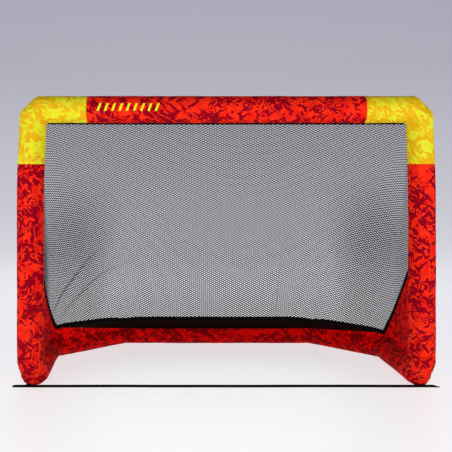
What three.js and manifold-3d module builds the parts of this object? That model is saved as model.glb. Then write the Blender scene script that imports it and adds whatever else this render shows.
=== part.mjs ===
// Inflatable soccer goal for children: a fabric sleeve over one long air bladder, bent into an
// upright front arch and a floor frame with cut-off rear corners, with a net behind it.
// Millimetres. +X right, +Y back, +Z up; the origin is on the floor, midway across and front to back.
import * as THREE from 'three';
import { mergeVertices } from 'three/addons/utils/BufferGeometryUtils.js';
import Module from 'manifold-3d';

const wasm = await Module();
wasm.setup();

// ---- driving dimensions ----
const WIDTH = 1200; // across the outsides of the uprights
const HEIGHT = 830;
const TUBE_R = 38.5; // to the flats of the 24-sided tube
const TUBE_SIDES = 24;
const BACK_DEPTH = 605; // front arch centre to back bar centre
const TURN_DEPTH = 375; // front arch centre to the turn of each side tube
const VALVE_REACH = 47.5; // back bar centre to the outside of the valve cap

const SLEEVE_WALL = 0.8;
const BLADDER_WALL = 0.6;
const GAP = 0.3; // between pieces that touch
const SEWN_GAP = 0.4; // between sleeve pieces along a seam

const CROSSBAR_SEAM_X = 402; // where the yellow corners end on the crossbar
const UPRIGHT_SEAM_Z = 635; // and on the uprights
const ELBOW_SEAM = 24; // from a foot's mitre to its seam
const TURN_SEAM = 30; // from a rear turn to its seam

const NET_T = 1.2;
const TAPE_T = 1.6;
const TAPE_W = 12;
const SIDE_PLANE_X = 544; // the net's sides and the gussets stand in this plane
const NET_TRIM = 0.8; // taken off the edges of net and tape pieces, so they don't touch
const SKIRT_W = 60; // black hem and skirt together, at the middle
const SKIRT_END_W = 48; // and at the knees, where the net meets the gussets
const HEM_W = 10;
const GUSSET_START = 35.4; // behind the front arch's centre
const GUSSET_RISE = 283; // its height at the upright
const GUSSET_END_RISE = 26; // and at the knee
const GUSSET_RUN = 300;
const GUSSET_NOTCH = 8; // its corner is cut off where the elbow fills it
const SIDE_NET_TOP = 752;
const TOP_TAPE_HALF = 522;
const NET_TOP_HALF = 541;

const STRAP_L = 1220;
const STRAP_W = 25;
const STRAP_T = 1.6;
const STRAP_SETBACK = -5; // from the arch centre to the strap centre
const TAB_X = 20;
const TAB_Y = 8;
const TAB_Z = 2.7;

const ZIP_FROM = -230;
const ZIP_TO = 150;
const ZIP_TAPE_T = 0.8;
const ZIP_TAPE_W = 8;
const TOOTH_PITCH = 4;
const VALVE_X = 240;
const PORT_R = 9; // hole in the sleeve for the valve
const WELD_R = 8.4; // and in the bladder

// ---- places worked out from them ----
const POST_X = WIDTH / 2 - TUBE_R;
const CROSSBAR_Z = HEIGHT - TUBE_R;
const BASE_Z = TUBE_R;
const FRONT_Y = -(BACK_DEPTH + VALVE_REACH - TUBE_R) / 2;
const BACK_Y = FRONT_Y + BACK_DEPTH;
const TURN_Y = FRONT_Y + TURN_DEPTH;
const BACK_END_X = POST_X - (BACK_DEPTH - TURN_DEPTH); // the cut-off corners run at 45 degrees
const ELBOW_CUT = TUBE_R * (2 - Math.SQRT2) + 3; // leaves a 3 mm step inside each two-cut elbow

const vec = (x, y, z) => new THREE.Vector3(x, y, z);

// ---- materials ----
const look = (color, roughness, metalness = 0, more = {}) =>
  new THREE.MeshStandardMaterial({ color, roughness, metalness, ...more });
const MATERIALS = {
  redFabric: look(0xcf1c14, 0.75),
  shadedFabric: look(0xb01510, 0.75),
  yellowFabric: look(0xe6d52a, 0.75),
  blackTape: look(0x17171a, 0.8),
  skirtMesh: look(0x241b1d, 0.85),
  net: look(0x4a4a50, 0.85, 0, { transparent: true, opacity: 0.7 }),
  film: look(0xd9d4c4, 0.35),
  valvePlastic: look(0x2a2a2e, 0.45),
  sealRubber: look(0x1a1a1a, 0.9),
  steel: look(0xb8bcc0, 0.3, 1),
  zipPlastic: look(0x1d1d20, 0.5),
};

// ---- solids: closed meshes joined and cut ----
function solid(geometry) {
  const bare = geometry.clone();
  bare.deleteAttribute('normal');
  bare.deleteAttribute('uv');
  const merged = mergeVertices(bare);
  return new wasm.Manifold(
    new wasm.Mesh({
      numProp: 3,
      vertProperties: new Float32Array(merged.attributes.position.array),
      triVerts: new Uint32Array(merged.index.array),
    }),
  );
}

function geometryOf(manifold) {
  const mesh = manifold.getMesh();
  const geometry = new THREE.BufferGeometry();
  geometry.setAttribute('position', new THREE.BufferAttribute(mesh.vertProperties, 3));
  geometry.setIndex(new THREE.BufferAttribute(mesh.triVerts, 1));
  geometry.computeVertexNormals();
  return geometry;
}

function join(first, ...others) {
  return geometryOf(others.reduce((sum, other) => sum.add(solid(other)), solid(first)));
}

function cut(body, ...tools) {
  return geometryOf(tools.reduce((rest, tool) => rest.subtract(solid(tool)), solid(body)));
}

// a box by its lowest and highest corners
function boxBetween(low, high) {
  const size = high.clone().sub(low);
  const middle = low.clone().add(high).multiplyScalar(0.5);
  return new THREE.BoxGeometry(size.x, size.y, size.z).translate(middle.x, middle.y, middle.z);
}

// a bar along X or Z
function rodAlong(axis, radius, length, centre, sides = 16) {
  const rod = new THREE.CylinderGeometry(radius, radius, length, sides);
  if (axis === 'x') rod.rotateZ(Math.PI / 2);
  if (axis === 'z') rod.rotateX(Math.PI / 2);
  return rod.translate(centre.x, centre.y, centre.z);
}

// ---- a tube with mitred bends ----
// Direction into and out of each point of a path; an end has only one of them.
function directionsAt(points, index) {
  const toward = (a, b) => points[b].clone().sub(points[a]).normalize();
  const last = points.length - 1;
  const into = index > 0 ? toward(index - 1, index) : toward(0, 1);
  const out = index < last ? toward(index, index + 1) : into.clone();
  return { into, out };
}

// A cylinder with one ring of vertices for each point of the path. Each ring is moved to its
// point and slid along the tube onto the mitre plane there, so every stretch stays round.
function bentTube(points, flatRadius) {
  const spans = points.length - 1;
  const halfSide = Math.PI / TUBE_SIDES;
  const radius = flatRadius / Math.cos(halfSide);
  const tube = new THREE.CylinderGeometry(radius, radius, spans, TUBE_SIDES, spans, false, halfSide);
  const first = directionsAt(points, 0).out;
  const upright = Math.abs(first.z) > 0.9 ? vec(0, 1, 0) : vec(0, 0, 1);
  const frames = [];
  let across = upright;
  points.forEach((point, index) => {
    const { into, out } = directionsAt(points, index);
    frames.push({ point, into, mitre: into.clone().add(out), across, beside: into.clone().cross(across) });
    across = across.clone().applyQuaternion(new THREE.Quaternion().setFromUnitVectors(into, out));
  });
  const position = tube.attributes.position;
  for (let i = 0; i < position.count; i += 1) {
    const frame = frames[Math.round(spans / 2 - position.getY(i))];
    const offset = frame.across.clone().multiplyScalar(position.getX(i));
    offset.addScaledVector(frame.beside, position.getZ(i));
    const slide = offset.dot(frame.mitre) / frame.into.dot(frame.mitre);
    offset.addScaledVector(frame.into, -slide).add(frame.point);
    position.setXYZ(i, offset.x, offset.y, offset.z);
  }
  return tube;
}

// the same path with its ends moved out (or in, if negative)
function lengthened(points, extra) {
  const moved = points.map((p) => p.clone());
  const last = points.length - 1;
  moved[0].addScaledVector(directionsAt(points, 0).out, -extra);
  moved[last].addScaledVector(directionsAt(points, last).into, extra);
  return moved;
}

function sleeve(points) {
  const cloth = lengthened(points, -SEWN_GAP / 2);
  return cut(bentTube(cloth, TUBE_R), bentTube(lengthened(cloth, 2), TUBE_R - SLEEVE_WALL));
}

// ---- flat sewn pieces ----
// Moves each side of a convex outline inwards by the trim and finds the new corners.
function trimmed(outline, trim) {
  const count = outline.length;
  const sides = outline.map((corner, i) => {
    const along = outline[(i + 1) % count].clone().sub(corner).normalize();
    const inward = new THREE.Vector2(-along.y, along.x);
    return { along, start: corner.clone().addScaledVector(inward, trim) };
  });
  return sides.map((side, i) => {
    const before = sides[(i + count - 1) % count];
    const apart = side.start.clone().sub(before.start);
    const reach = apart.cross(side.along) / before.along.cross(side.along);
    return before.start.clone().addScaledVector(before.along, reach);
  });
}

// A flat sheet through coplanar corners, half its thickness on each side of them.
function sheet(corners, thickness, trim = 0) {
  const along = corners[1].clone().sub(corners[0]).normalize();
  const normal = along.clone().cross(corners[2].clone().sub(corners[0])).normalize();
  const over = normal.clone().cross(along);
  const outline = corners.map((corner) => {
    const from = corner.clone().sub(corners[0]);
    return new THREE.Vector2(from.dot(along), from.dot(over));
  });
  const shape = new THREE.Shape(trimmed(outline, trim));
  const plate = new THREE.ExtrudeGeometry(shape, { depth: thickness, bevelEnabled: false });
  plate.translate(0, 0, -thickness / 2);
  return plate.applyMatrix4(new THREE.Matrix4().makeBasis(along, over, normal).setPosition(corners[0]));
}

// ---- assembly ----
const goal = new THREE.Group();
goal.name = 'inflatable_goal';

function add(name, geometry, material) {
  const mesh = new THREE.Mesh(geometry, MATERIALS[material]);
  mesh.name = name;
  goal.add(mesh);
}

const SIDES = [
  { name: 'left', sign: -1 },
  { name: 'right', sign: 1 },
];

// the bends of the tube on one side, from the crossbar round to the back bar
function bends(sign) {
  return {
    crossbarEnd: vec(sign * (POST_X - ELBOW_CUT), FRONT_Y, CROSSBAR_Z),
    uprightTop: vec(sign * POST_X, FRONT_Y, CROSSBAR_Z - ELBOW_CUT),
    uprightFoot: vec(sign * POST_X, FRONT_Y, BASE_Z + ELBOW_CUT),
    sideFront: vec(sign * POST_X, FRONT_Y + ELBOW_CUT, BASE_Z),
    sideRear: vec(sign * POST_X, TURN_Y, BASE_Z),
    backEnd: vec(sign * BACK_END_X, BACK_Y, BASE_Z),
  };
}

// ---- sleeves ----
function addFrontSleeves() {
  const crossbar = [-CROSSBAR_SEAM_X, CROSSBAR_SEAM_X].map((x) => vec(x, FRONT_Y, CROSSBAR_Z));
  add('crossbar_sleeve', sleeve(crossbar), 'redFabric');
  for (const { name, sign } of SIDES) {
    const at = bends(sign);
    const topSeam = vec(sign * CROSSBAR_SEAM_X, FRONT_Y, CROSSBAR_Z);
    const uprightSeam = vec(sign * POST_X, FRONT_Y, UPRIGHT_SEAM_Z);
    const footSeam = at.uprightFoot.clone().add(vec(0, 0, ELBOW_SEAM));
    const heelSeam = at.sideFront.clone().add(vec(0, ELBOW_SEAM, 0));
    const corner = [topSeam, at.crossbarEnd, at.uprightTop, uprightSeam];
    add(`corner_sleeve_${name}`, sleeve(corner), 'yellowFabric');
    add(`upright_sleeve_${name}`, sleeve([uprightSeam, footSeam]), 'redFabric');
    add(`foot_sleeve_${name}`, sleeve([footSeam, at.uprightFoot, at.sideFront, heelSeam]), 'redFabric');
  }
}

function addFloorSleeves() {
  for (const { name, sign } of SIDES) {
    const at = bends(sign);
    const heelSeam = at.sideFront.clone().add(vec(0, ELBOW_SEAM, 0));
    const turnSeam = at.sideRear.clone().add(vec(0, -TURN_SEAM, 0));
    const backSeam = at.backEnd.clone().add(vec(-sign * TURN_SEAM, 0, 0));
    add(`side_sleeve_${name}`, sleeve([heelSeam, turnSeam]), 'shadedFabric');
    add(`rear_corner_sleeve_${name}`, sleeve([turnSeam, at.sideRear, at.backEnd, backSeam]), 'shadedFabric');
  }
  const half = BACK_END_X - TURN_SEAM;
  const tube = sleeve([vec(-half, BACK_Y, BASE_Z), vec(half, BACK_Y, BASE_Z)]);
  const slitLow = vec(ZIP_FROM + 4, BACK_Y + 30, BASE_Z - 2);
  const slit = boxBetween(slitLow, vec(ZIP_TO - 4, BACK_Y + 45, BASE_Z + 2));
  const port = new THREE.CylinderGeometry(PORT_R, PORT_R, 20, TUBE_SIDES);
  port.translate(VALVE_X, BACK_Y + TUBE_R, BASE_Z);
  add('back_sleeve', cut(tube, slit, port), 'shadedFabric');
}

// ---- bladder: one long sausage whose two welded ends meet in the back bar ----
function addBladder() {
  const right = Object.values(bends(1));
  const left = Object.values(bends(-1));
  const start = vec(1, BACK_Y, BASE_Z);
  const end = vec(-1, BACK_Y, BASE_Z);
  const path = [start, ...right.reverse(), ...left, end];
  const outside = TUBE_R - SLEEVE_WALL - GAP;
  const outer = bentTube(path, outside);
  const inner = bentTube(lengthened(path, -BLADDER_WALL), outside - BLADDER_WALL);
  const port = new THREE.CylinderGeometry(WELD_R, WELD_R, 20, TUBE_SIDES);
  port.translate(VALVE_X, BACK_Y + TUBE_R, BASE_Z);
  add('air_bladder', cut(outer, inner, port), 'film');
}

// ---- valve: turned parts on one axis along +Y, heights measured from the back bar's centre ----
const valveAxis = (geometry) => geometry.translate(VALVE_X, BACK_Y, BASE_Z);
const turned = (profile) =>
  valveAxis(new THREE.LatheGeometry(profile.map(([r, y]) => new THREE.Vector2(r, y)), TUBE_SIDES));

const NECK_TOP = 45.5;
const WEB_LOW = 35;
const WEB_TOP = 36.4;
const BUTTON_LOW = 43.2;
const CAP_HINGE = { y: 43.2, z: -13 };

class Coil extends THREE.Curve {
  constructor(radius, turns, low, high) {
    super();
    Object.assign(this, { radius, turns, low, high });
  }

  getPoint(t, target = new THREE.Vector3()) {
    const angle = 2 * Math.PI * this.turns * t;
    const y = this.low + (this.high - this.low) * t;
    return target.set(this.radius * Math.cos(angle), y, this.radius * Math.sin(angle));
  }
}

function addValve() {
  const neck = turned([
    [6.5, 30], [15, 30], [15, 31.6], [8, 31.6], [8, NECK_TOP], [6.5, NECK_TOP],
    [6.5, WEB_TOP], [2, WEB_TOP], [2, WEB_LOW], [6.5, WEB_LOW], [6.5, 30],
  ]);
  const vents = [0, 1, 2, 3].map((quarter) => {
    const angle = (quarter * Math.PI) / 2;
    const hole = new THREE.CylinderGeometry(0.9, 0.9, 6, 8);
    return valveAxis(hole.translate(4.2 * Math.cos(angle), WEB_LOW, 4.2 * Math.sin(angle)));
  });
  add('valve_body', cut(neck, ...vents), 'valvePlastic');

  const stem = [
    [0, 32], [5, 32], [5, 33], [1.6, 33], [1.6, BUTTON_LOW],
    [3.4, BUTTON_LOW], [3.4, 44.4], [0, 44.4],
  ];
  add('valve_poppet', turned(stem), 'valvePlastic');
  add('valve_seal', turned([[1.9, 33.3], [5, 33.3], [5, 34.7], [1.9, 34.7], [1.9, 33.3]]), 'sealRubber');

  const wire = new THREE.Shape().absarc(0, 0, 0.4, 0, 2 * Math.PI);
  const path = new Coil(2.6, 4, WEB_TOP + 0.8, BUTTON_LOW - 0.8);
  const along = { steps: 48, curveSegments: 6, extrudePath: path };
  add('valve_spring', join(valveAxis(new THREE.ExtrudeGeometry(wire, along))), 'steel');
}

// ring clipped round the neck with two ears, and the snap cap hinged between them
function addValveCap() {
  const ring = turned([[8.3, 39.2], [10.8, 39.2], [10.8, 41], [8.3, 41], [8.3, 39.2]]);
  const bridge = valveAxis(boxBetween(vec(-4.8, 39.2, -14.4), vec(4.8, 41, -10)));
  const ears = [-1, 1].map((sign) => {
    const low = vec(Math.min(sign * 3.3, sign * 4.8), 39.2, CAP_HINGE.z - 1.6);
    return valveAxis(boxBetween(low, vec(low.x + 1.5, CAP_HINGE.y + 1.6, CAP_HINGE.z + 1.6)));
  });
  const hingeHole = valveAxis(rodAlong('x', 1, 12, vec(0, CAP_HINGE.y, CAP_HINGE.z)));
  add('valve_ring', cut(join(ring, bridge, ...ears), hingeHole), 'valvePlastic');
  add('valve_cap_pin', valveAxis(rodAlong('x', 0.7, 10, vec(0, CAP_HINGE.y, CAP_HINGE.z))), 'steel');

  const cap = turned([[0, 45.8], [8.5, 45.8], [8.5, 42.5], [10, 42.5], [10, VALVE_REACH], [0, VALVE_REACH]]);
  const lugLow = vec(-3, CAP_HINGE.y - 1, CAP_HINGE.z - 1.6);
  const lug = valveAxis(boxBetween(lugLow, vec(3, CAP_HINGE.y + 1.4, -9.2)));
  add('valve_cap', cut(join(cap, lug), hingeHole), 'valvePlastic');
}

// ---- zip along the rear of the back bar, closing the slit the bladder goes in by ----
const TAPE_FACE = TUBE_R + GAP;
const TAPE_BACK = TAPE_FACE + ZIP_TAPE_T;
const COIL_LOW = TAPE_BACK + GAP;
const COIL_TOP = COIL_LOW + 1.3;
const SLIDER_TOP = COIL_TOP + 1.5;
const PULL_BAR = SLIDER_TOP + 2.4;
const SLIDER_X = ZIP_FROM + 15;
const PULL_L = 24;
const rear = (x, y, z) => vec(x, BACK_Y + y, BASE_Z + z);

function addZip() {
  const upper = boxBetween(rear(ZIP_FROM, TAPE_FACE, 0.2), rear(ZIP_TO, TAPE_BACK, ZIP_TAPE_W));
  const lower = boxBetween(rear(ZIP_FROM, TAPE_FACE, -ZIP_TAPE_W), rear(ZIP_TO, TAPE_BACK, -0.2));
  add('zip_tape_upper', upper, 'zipPlastic');
  add('zip_tape_lower', lower, 'zipPlastic');

  const strip = boxBetween(rear(ZIP_FROM + 3, COIL_LOW, -2.5), rear(ZIP_TO - 3, COIL_LOW + 0.5, 2.5));
  const teeth = [];
  for (let x = ZIP_FROM + 5; x < ZIP_TO - 5; x += TOOTH_PITCH) {
    teeth.push(boxBetween(rear(x, COIL_LOW + 0.3, -2.3), rear(x + 2, COIL_TOP, 2.3)));
  }
  add('zip_teeth', join(strip, ...teeth), 'zipPlastic');

  const ends = { left: ZIP_FROM + 1.2, right: ZIP_TO - 1.2 };
  for (const [name, x] of Object.entries(ends)) {
    const stop = boxBetween(rear(x - 1.4, COIL_LOW, -3), rear(x + 1.4, COIL_TOP + 0.5, 3));
    add(`zip_stop_${name}`, stop, 'steel');
  }
}

function addZipSlider() {
  const block = boxBetween(rear(SLIDER_X - 6, COIL_LOW, -4.3), rear(SLIDER_X + 6, SLIDER_TOP, 4.3));
  const channel = boxBetween(rear(SLIDER_X - 7, COIL_LOW - 1, -2.8), rear(SLIDER_X + 7, COIL_TOP + GAP, 2.8));
  const posts = [-3, 3].map((z) =>
    boxBetween(rear(SLIDER_X - 1.2, SLIDER_TOP - 0.5, z - 0.6), rear(SLIDER_X + 1.2, PULL_BAR + 1, z + 0.6)),
  );
  const bar = rodAlong('z', 0.7, 6, rear(SLIDER_X, PULL_BAR, 0));
  add('zip_slider', join(cut(block, channel), ...posts, bar), 'steel');

  const eye = rodAlong('z', 1.9, 4.2, rear(SLIDER_X, PULL_BAR, 0));
  const tabLow = rear(SLIDER_X + 0.5, PULL_BAR - 0.6, -2.1);
  const tab = boxBetween(tabLow, rear(SLIDER_X + PULL_L, PULL_BAR + 0.6, 2.1));
  const eyeHole = rodAlong('z', 1, 8, rear(SLIDER_X, PULL_BAR, 0));
  add('zip_pull', cut(join(eye, tab), eyeHole), 'zipPlastic');
}

// ---- net ----
// The back of the net is one plane from the crossbar's rear underside to the back bar's front.
const TOP_SEAM_R = 40.4;
const NET_TOP = vec(0, FRONT_Y + TOP_SEAM_R * Math.SQRT1_2, CROSSBAR_Z - TOP_SEAM_R * Math.SQRT1_2);
const SEAM_ANGLE = Math.PI / 3; // from the top of the floor tubes, on their inner side
const SEAM_R = TUBE_R + 1.6;
const SEAM_IN = SEAM_R * Math.sin(SEAM_ANGLE);
const SEAM_Z = BASE_Z + SEAM_R * Math.cos(SEAM_ANGLE);
const NET_FOOT = vec(0, BACK_Y - SEAM_IN, SEAM_Z);
const NET_DROP = NET_TOP.distanceTo(NET_FOOT);
const TURN_SHIFT = SEAM_IN * Math.tan(Math.PI / 8);
const NET_FOOT_HALF = BACK_END_X - TURN_SHIFT;

// a point of that plane, by its distance down from the top edge
function netLine(down, halfWidth) {
  const point = NET_TOP.clone().lerp(NET_FOOT, down / NET_DROP);
  return (sign) => vec(sign * halfWidth, point.y, point.z);
}

function netHalf(down) {
  return THREE.MathUtils.lerp(NET_TOP_HALF, NET_FOOT_HALF, (down - TAPE_W) / (NET_DROP - TAPE_W));
}

const across = (upper, lower) => [upper(-1), lower(-1), lower(1), upper(1)];

function addNetBack() {
  const hem = NET_DROP - SKIRT_W;
  const top = netLine(TAPE_W, NET_TOP_HALF);
  const hemTop = netLine(hem, netHalf(hem));
  const hemFoot = netLine(hem + HEM_W, netHalf(hem + HEM_W));
  const foot = netLine(NET_DROP, NET_FOOT_HALF);
  const tape = across(netLine(0, TOP_TAPE_HALF), netLine(TAPE_W, TOP_TAPE_HALF));
  add('net_top_tape', sheet(tape, TAPE_T, GAP), 'blackTape');
  add('net_back_panel', sheet(across(top, hemTop), NET_T, NET_TRIM), 'net');
  add('hem_tape_back', sheet(across(hemTop, hemFoot), TAPE_T, NET_TRIM), 'blackTape');
  add('skirt_back', sheet(across(hemFoot, foot), NET_T, NET_TRIM), 'skirtMesh');
}

// The net past the fold at its side: a triangle down to the cut-off corner of the floor frame.
// Its lower edge ends at the knee, above the turn of the side tube.
function flankOf(sign) {
  const hem = NET_DROP - SKIRT_W;
  const upper = netLine(hem, netHalf(hem))(sign);
  const lower = netLine(NET_DROP, NET_FOOT_HALF)(sign);
  const corner = vec(sign * (POST_X - SEAM_IN), TURN_Y - TURN_SHIFT, SEAM_Z);
  const rise = upper.clone().sub(lower).normalize();
  const knee = corner.clone().addScaledVector(rise, SKIRT_END_W);
  const upperHem = upper.clone().addScaledVector(rise, -HEM_W);
  const kneeHem = knee.clone().addScaledVector(rise, -HEM_W);
  return { upper, lower, corner, rise, knee, upperHem, kneeHem };
}

function addNetFlank({ name, sign }) {
  const { upper, lower, knee, upperHem, kneeHem } = flankOf(sign);
  const top = netLine(TAPE_W + 3, NET_TOP_HALF)(sign);
  add(`net_flank_${name}`, sheet([top, upper, knee], NET_T, 1), 'net');
  add(`hem_tape_${name}`, sheet([upper, upperHem, kneeHem, knee], TAPE_T, NET_TRIM), 'blackTape');
  add(`skirt_${name}`, sheet([upperHem, lower, kneeHem], NET_T, NET_TRIM), 'skirtMesh');
}

// The gusset's cloth past the knee: it tapers to nothing along the cut-off corner, below the skirt.
function gussetReturn(sign) {
  const { lower, corner, kneeHem } = flankOf(sign);
  const along = corner.clone().sub(lower).normalize();
  const reachSide = (from) => {
    const distance = (SIDE_PLANE_X + 1 - Math.abs(from.x)) / Math.abs(along.x);
    return from.clone().addScaledVector(along, distance);
  };
  const cloth = sheet([lower, reachSide(corner), reachSide(kneeHem), kneeHem], NET_T, NET_TRIM);
  const at = bends(sign);
  return cut(cloth, bentTube([at.sideFront, at.sideRear, at.backEnd], TUBE_R + GAP));
}

// the triangle between an upright and a side tube: a fabric gusset below, net above it
function addNetSide({ name, sign }) {
  const at = (y, z) => vec(sign * SIDE_PLANE_X, FRONT_Y + y, z);
  const low = 2 * BASE_Z - 2.7; // where the side plane comes out of the side tube
  const near = GUSSET_START;
  const far = near + GUSSET_RUN;
  const slope = Math.hypot(GUSSET_RISE - GUSSET_END_RISE, GUSSET_RUN);
  const tapeRise = (TAPE_W * slope) / GUSSET_RUN;
  const peak = at(near, low + GUSSET_RISE);
  const knee = at(far, low + GUSSET_END_RISE);
  const innerPeak = at(near, low + GUSSET_RISE - tapeRise);
  const innerKnee = at(far, low + GUSSET_END_RISE - tapeRise);
  const notch = [at(near, low + GUSSET_NOTCH), at(near + GUSSET_NOTCH, low)];
  const outline = [...notch, at(far, low), innerKnee, innerPeak];
  add(`gusset_${name}`, join(sheet(outline, NET_T, GAP), gussetReturn(sign)), 'redFabric');
  add(`gusset_tape_${name}`, sheet([peak, innerPeak, innerKnee, knee], TAPE_T, GAP), 'blackTape');

  const edge = near + TAPE_W;
  const start = low + GUSSET_RISE;
  const tape = [at(near, SIDE_NET_TOP), at(near, start), at(edge, start), at(edge, SIDE_NET_TOP)];
  add(`net_side_tape_${name}`, sheet(tape, TAPE_T, GAP), 'blackTape');
  const net = [at(edge, SIDE_NET_TOP), at(edge, start), knee.clone().add(vec(0, 0, TAPE_W))];
  add(`net_side_${name}`, sheet(net, NET_T, 1), 'net');
}

// ---- strap that keeps the feet apart, on the floor along the goal line ----
function addStrap() {
  const y = FRONT_Y + STRAP_SETBACK;
  const low = vec(-STRAP_L / 2, y - STRAP_W / 2, 0);
  add('goal_line_strap', boxBetween(low, vec(STRAP_L / 2, y + STRAP_W / 2, STRAP_T)), 'blackTape');
  for (const { name, sign } of SIDES) {
    const x = sign * POST_X;
    const tab = new THREE.BoxGeometry(TAB_X, TAB_Y, TAB_Z);
    add(`strap_tab_${name}`, tab.translate(x, FRONT_Y, STRAP_T + GAP + TAB_Z / 2), 'blackTape');
  }
}

addFrontSleeves();
addFloorSleeves();
addBladder();
addValve();
addValveCap();
addZip();
addZipSlider();
addNetBack();
SIDES.forEach(addNetFlank);
SIDES.forEach(addNetSide);
addStrap();

export default goal;
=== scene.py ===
"""Inflatable children's soccer goal: printed fabric sleeves, fine net, black binding and floor strap."""

import math

import bmesh
import bpy
import numpy as np
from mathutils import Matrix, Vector, noise


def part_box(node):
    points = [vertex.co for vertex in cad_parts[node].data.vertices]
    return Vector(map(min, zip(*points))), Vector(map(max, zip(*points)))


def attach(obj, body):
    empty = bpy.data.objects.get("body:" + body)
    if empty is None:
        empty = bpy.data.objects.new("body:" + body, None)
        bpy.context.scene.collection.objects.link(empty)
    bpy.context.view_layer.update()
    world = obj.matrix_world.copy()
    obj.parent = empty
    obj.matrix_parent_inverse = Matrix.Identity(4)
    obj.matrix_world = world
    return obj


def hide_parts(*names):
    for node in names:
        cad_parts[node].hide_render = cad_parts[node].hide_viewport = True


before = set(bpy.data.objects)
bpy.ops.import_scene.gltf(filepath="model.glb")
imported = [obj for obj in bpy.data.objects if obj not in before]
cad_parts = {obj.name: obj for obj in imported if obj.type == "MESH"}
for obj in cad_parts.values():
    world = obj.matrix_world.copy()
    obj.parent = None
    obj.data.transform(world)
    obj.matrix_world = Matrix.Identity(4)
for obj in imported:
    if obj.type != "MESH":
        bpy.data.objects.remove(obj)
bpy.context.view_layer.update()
MM = 0.001


# ---------------------------------------------------------------- places, from the frame
def middle(node):
    low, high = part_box(node)
    return (low + high) / 2


BODY = "goal"
FRONT_Y = middle("crossbar_sleeve").y
CROSSBAR_Z = middle("crossbar_sleeve").z
TUBE_R = (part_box("crossbar_sleeve")[1].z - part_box("crossbar_sleeve")[0].z) / 2
POST_X = middle("upright_sleeve_right").x
BACK_Y = middle("back_sleeve").y
BASE_Z = middle("back_sleeve").z
CROSSBAR_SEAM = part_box("crossbar_sleeve")[1].x
UPRIGHT_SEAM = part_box("upright_sleeve_right")[1].z
FOOT_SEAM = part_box("upright_sleeve_right")[0].z
HEEL_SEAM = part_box("side_sleeve_right")[0].y
TURN_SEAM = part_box("side_sleeve_right")[1].y
BACK_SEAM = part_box("back_sleeve")[1].x
ELBOW_STEP = 3 * MM  # left inside each elbow, which is mitred twice
ELBOW_CUT = TUBE_R * (2 - math.sqrt(2)) + ELBOW_STEP
SEAM_TO_TURN = 30 * MM
TURN_Y = TURN_SEAM + SEAM_TO_TURN
BACK_END_X = BACK_SEAM + SEAM_TO_TURN
SIDE_X = middle("gusset_tape_right").x
SIDES = {"left": -1, "right": 1}


# ---------------------------------------------------------------- mesh helpers
def mesh_object(name, vertices, faces, material):
    mesh = bpy.data.meshes.new(name)
    mesh.from_pydata(np.asarray(vertices).tolist(), [], np.asarray(faces).tolist())
    mesh.polygons.foreach_set("use_smooth", [True] * len(mesh.polygons))
    mesh.update()
    piece = bpy.data.objects.new(name, mesh)
    bpy.context.scene.collection.objects.link(piece)
    mesh.materials.append(material)
    return piece


def grid_faces(rows, columns, closed):
    """Quads of a grid of points; closed joins the last column to the first."""
    last = columns if closed else columns - 1
    row, column = np.meshgrid(np.arange(rows - 1), np.arange(last), indexing="ij")
    beside = (column + 1) % columns
    here, below = row * columns, (row + 1) * columns
    quads = [here + column, here + beside, below + beside, below + column]
    return np.stack([q.ravel() for q in quads], axis=1)


def grid_object(name, points, material, closed=False, thickness=0.0, offset=-1.0):
    rows, columns = points.shape[:2]
    piece = mesh_object(name, points.reshape(-1, 3), grid_faces(rows, columns, closed), material)
    if thickness:
        solidify = piece.modifiers.new("cloth thickness", "SOLIDIFY")
        solidify.thickness = thickness
        solidify.offset = offset
    return piece


def place(piece, slot, *nodes, body=BODY):
    """Rides on a body and stands for CAD nodes, which it hides; the slot is not used."""
    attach(piece, body)
    if nodes:
        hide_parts(*nodes)
    return piece


def smoothstep(low, high, value):
    t = np.clip((value - low) / (high - low), 0.0, 1.0)
    return t * t * (3 - 2 * t)


def noise_at(points, scale, seed=0.0):
    """Smooth noise of about -1 to 1 at each point."""
    shift = Vector((seed, seed * 1.7, seed * 0.3))
    flat = np.asarray(points).reshape(-1, 3) * scale
    values = [noise.noise(Vector(p) + shift) for p in flat]
    return np.array(values).reshape(np.asarray(points).shape[:-1])


# ---------------------------------------------------------------- how the soft goal settles
DRAWN_IN = {"left": 8 * MM, "right": 7 * MM}  # the top corners lean in a little
LEAN_STARTS = 0.50
FOOT_DRAWN_IN = {"left": 3 * MM, "right": 2 * MM}
FOOT_TOP = 0.15
INSET = {"left": 3 * MM, "right": -1 * MM}  # over their whole height the two posts stand unevenly too
SIDE_STARTS = 0.4  # everything further from the middle belongs to a side
TOE_TOP = 66 * MM
TOE_NARROWING = 0.2
HEEL_SPREAD = 14 * MM  # the tube behind it bulges inwards on the floor
KNEE_IN_LOW = {"left": 6 * MM, "right": 20 * MM}  # the side tubes stand a little closer at their rear
KNEE_IN_HIGH = {"left": 1 * MM, "right": 6 * MM}
TOE_FORWARD = 13 * MM  # the toe's underside rolls forward over the strap
TOE_ROLL_TOP = 35 * MM
STRAP_HALF = 0.61
STRAP_TOP = 2.2 * MM
FLOOR_GAP = 0.3 * MM


def lean(side, z):
    """How far an upright stands in at each height."""
    inwards = DRAWN_IN[side] * smoothstep(LEAN_STARTS, CROSSBAR_Z, z) ** 1.5 + INSET[side]
    return inwards + FOOT_DRAWN_IN[side] * (1 - smoothstep(0.0, FOOT_TOP, z))


def shape_foot(x, behind, z, sign, centre):
    """Narrows the toe on its outer side and spreads the heel on its inner side."""
    low = np.clip(1 - z / TOE_TOP, 0, 1)
    on_side = sign * x > SIDE_STARTS
    narrow = 1 - TOE_NARROWING * on_side * (1 - smoothstep(-0.01, 0.045, behind)) * low ** 0.8
    spread = HEEL_SPREAD * (1 - smoothstep(0.03, 0.28, behind)) * low
    out = sign * x - centre
    shaped = np.where(out > 0, out * narrow, out * (1 + spread / TUBE_R))
    return np.where(on_side, sign * (centre + shaped), x)


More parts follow.
